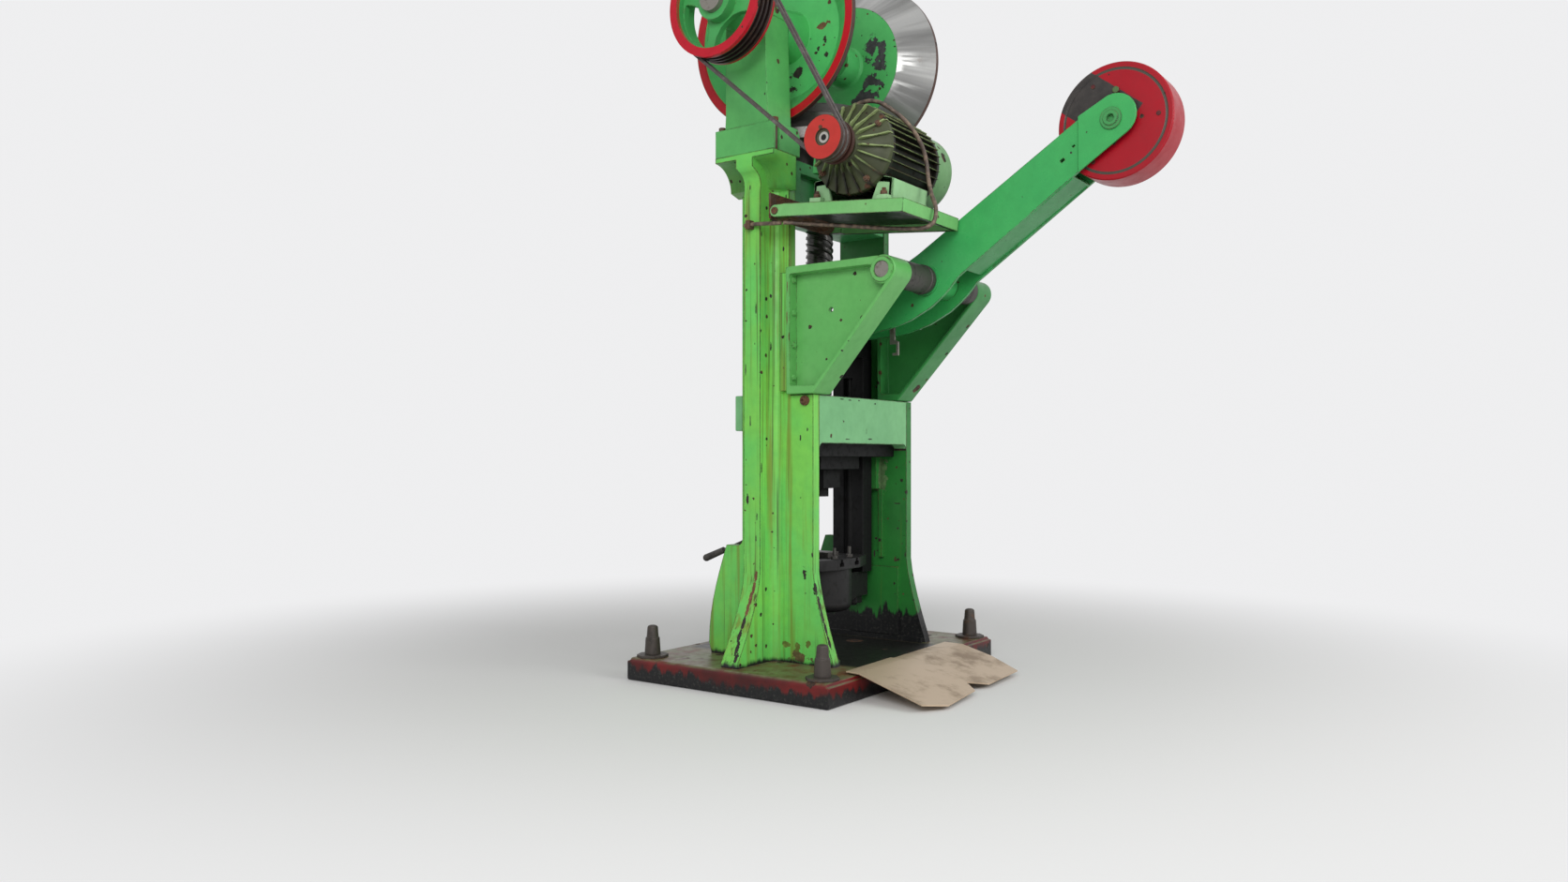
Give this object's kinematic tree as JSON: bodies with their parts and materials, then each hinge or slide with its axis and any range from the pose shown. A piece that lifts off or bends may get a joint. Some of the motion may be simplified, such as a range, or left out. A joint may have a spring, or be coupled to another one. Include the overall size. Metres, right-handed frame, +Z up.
{
  "type": "friction screw press",
  "caption": "Friction screw press with two cone discs, a rising yoke, a balanced lever, a belt-driven motor and a lever at the rear.",
  "frame": {"origin": "centre of the bed's underside, on the screw's axis", "axes": "+Z up along the screw, +X along the friction shaft away from the belt pulley, -Y towards the working front with the balance lever"},
  "size_m": [1.587, 2.2433, 3.3729],
  "materials": {
    "green_paint": "glossy",
    "mint_paint": "glossy",
    "bed_paint": "worn",
    "red_paint": "glossy",
    "olive_paint": "worn",
    "bare_steel": "polished",
    "worn_iron": "oily",
    "oily_steel": "oily",
    "rusty_steel": "rusty",
    "sheet_steel": "worn",
    "bronze": "worn",
    "belt_rubber": "matte",
    "cable_rubber": "matte"
  },
  "bodies": {
    "frame": {"bed": "bed_paint", "anchor_bolts": "worn_iron", "left_side_frame": "green_paint", "right_side_frame": "green_paint", "front_apron": "mint_paint", "rear_apron": "green_paint", "fixed_beam": "green_paint", "guide_gibs": "green_paint", "tool_holder": "worn_iron", "crown_beam": "green_paint", "left_bracket": "mint_paint", "right_bracket": "mint_paint", "bracket_bolts": "green_paint", "frame_lugs": "rusty_steel", "left_pedestal": "green_paint", "right_pedestal": "green_paint", "bearing_caps": "green_paint", "bearing_bushes": "bronze", "cap_bolts": "rusty_steel", "pivot_shaft": "bare_steel", "hinge_bracket": "rusty_steel", "hinge_pin": "rusty_steel", "v_belts": "belt_rubber", "left_discharge_plate": "sheet_steel", "right_discharge_plate": "sheet_steel", "lever_stand": "worn_iron", "supply_lead": "cable_rubber"},
    "yoke": {"yoke_crosshead": "green_paint", "screw_nut": "bronze", "tie_bars": "worn_iron", "tie_rods": "rusty_steel", "lower_beam": "worn_iron", "table_plate": "rusty_steel", "table_bolts": "rusty_steel"},
    "screw_wheel": {"flywheel": "bare_steel", "friction_band": "rusty_steel", "screw": "oily_steel", "screw_cap": "rusty_steel"},
    "lever": {"lever_arm": "green_paint", "lever_fork": "green_paint", "lever_catch": "bare_steel", "lever_collars": "worn_iron", "balance_wheel": "red_paint", "wheel_pin": "green_paint", "lever_roller": "bare_steel"},
    "shift_carrier": {"shift_sleeve": "worn_iron"},
    "drive_shaft": {"friction_shaft": "bare_steel", "belt_pulley": "red_paint", "left_cone_disc": "green_paint", "right_cone_disc": "green_paint", "cone_faces": "bare_steel"},
    "motor": {"motor_plate": "mint_paint", "motor_stator": "olive_paint", "motor_bell": "olive_paint", "fan_cover": "mint_paint", "motor_bolts": "rusty_steel", "terminal_box": "green_paint", "motor_cable": "cable_rubber"},
    "rotor": {"motor_rotor": "red_paint"},
    "hand_lever": {"control_lever": "worn_iron"}
  },
  "joints": [
    {"name": "yoke_lift", "type": "slide", "parent": "frame", "child": "yoke", "axis": [0, 0, 1], "range_m": [0, 0.24]},
    {"name": "screw_turn", "type": "hinge", "parent": "frame", "child": "screw_wheel", "pos_m": [0, 0, 2.4], "axis": [0, 0, 1], "range_deg": [-725, 5]},
    {"name": "lever_swing", "type": "hinge", "parent": "frame", "child": "lever", "pos_m": [0, -0.626, 1.785], "axis": [1, 0, 0], "range_deg": [-0.5, 29.2]},
    {"name": "shaft_shift", "type": "slide", "parent": "frame", "child": "shift_carrier", "axis": [1, 0, 0], "range_m": [-0.004, 0.004], "deforming": ["v_belts"]},
    {"name": "shaft_spin", "type": "hinge", "parent": "shift_carrier", "child": "drive_shaft", "pos_m": [0, 0, 2.939], "axis": [1, 0, 0], "continuous": true},
    {"name": "motor_plate_tilt", "type": "hinge", "parent": "frame", "child": "motor", "pos_m": [0, -0.17, 2.062], "axis": [-1, 0, 0], "range_deg": [0, 5], "deforming": ["v_belts"]},
    {"name": "motor_spin", "type": "hinge", "parent": "motor", "child": "rotor", "pos_m": [0, -0.548, 2.268], "axis": [1, 0, 0], "continuous": true},
    {"name": "control_swing", "type": "hinge", "parent": "frame", "child": "hand_lever", "pos_m": [-0.363, 0.104, 0.648], "axis": [1, 0, 0], "range_deg": [-12, 12]}
  ],
  "couplings": [
    {"joint": "screw_turn", "follows": "yoke_lift", "rad_per_m": -52.36},
    {"joint": "lever_swing", "follows": "yoke_lift", "rad_per_m": 2.09},
    {"joint": "motor_spin", "follows": "shaft_spin", "ratio": 2.7273}
  ]
}
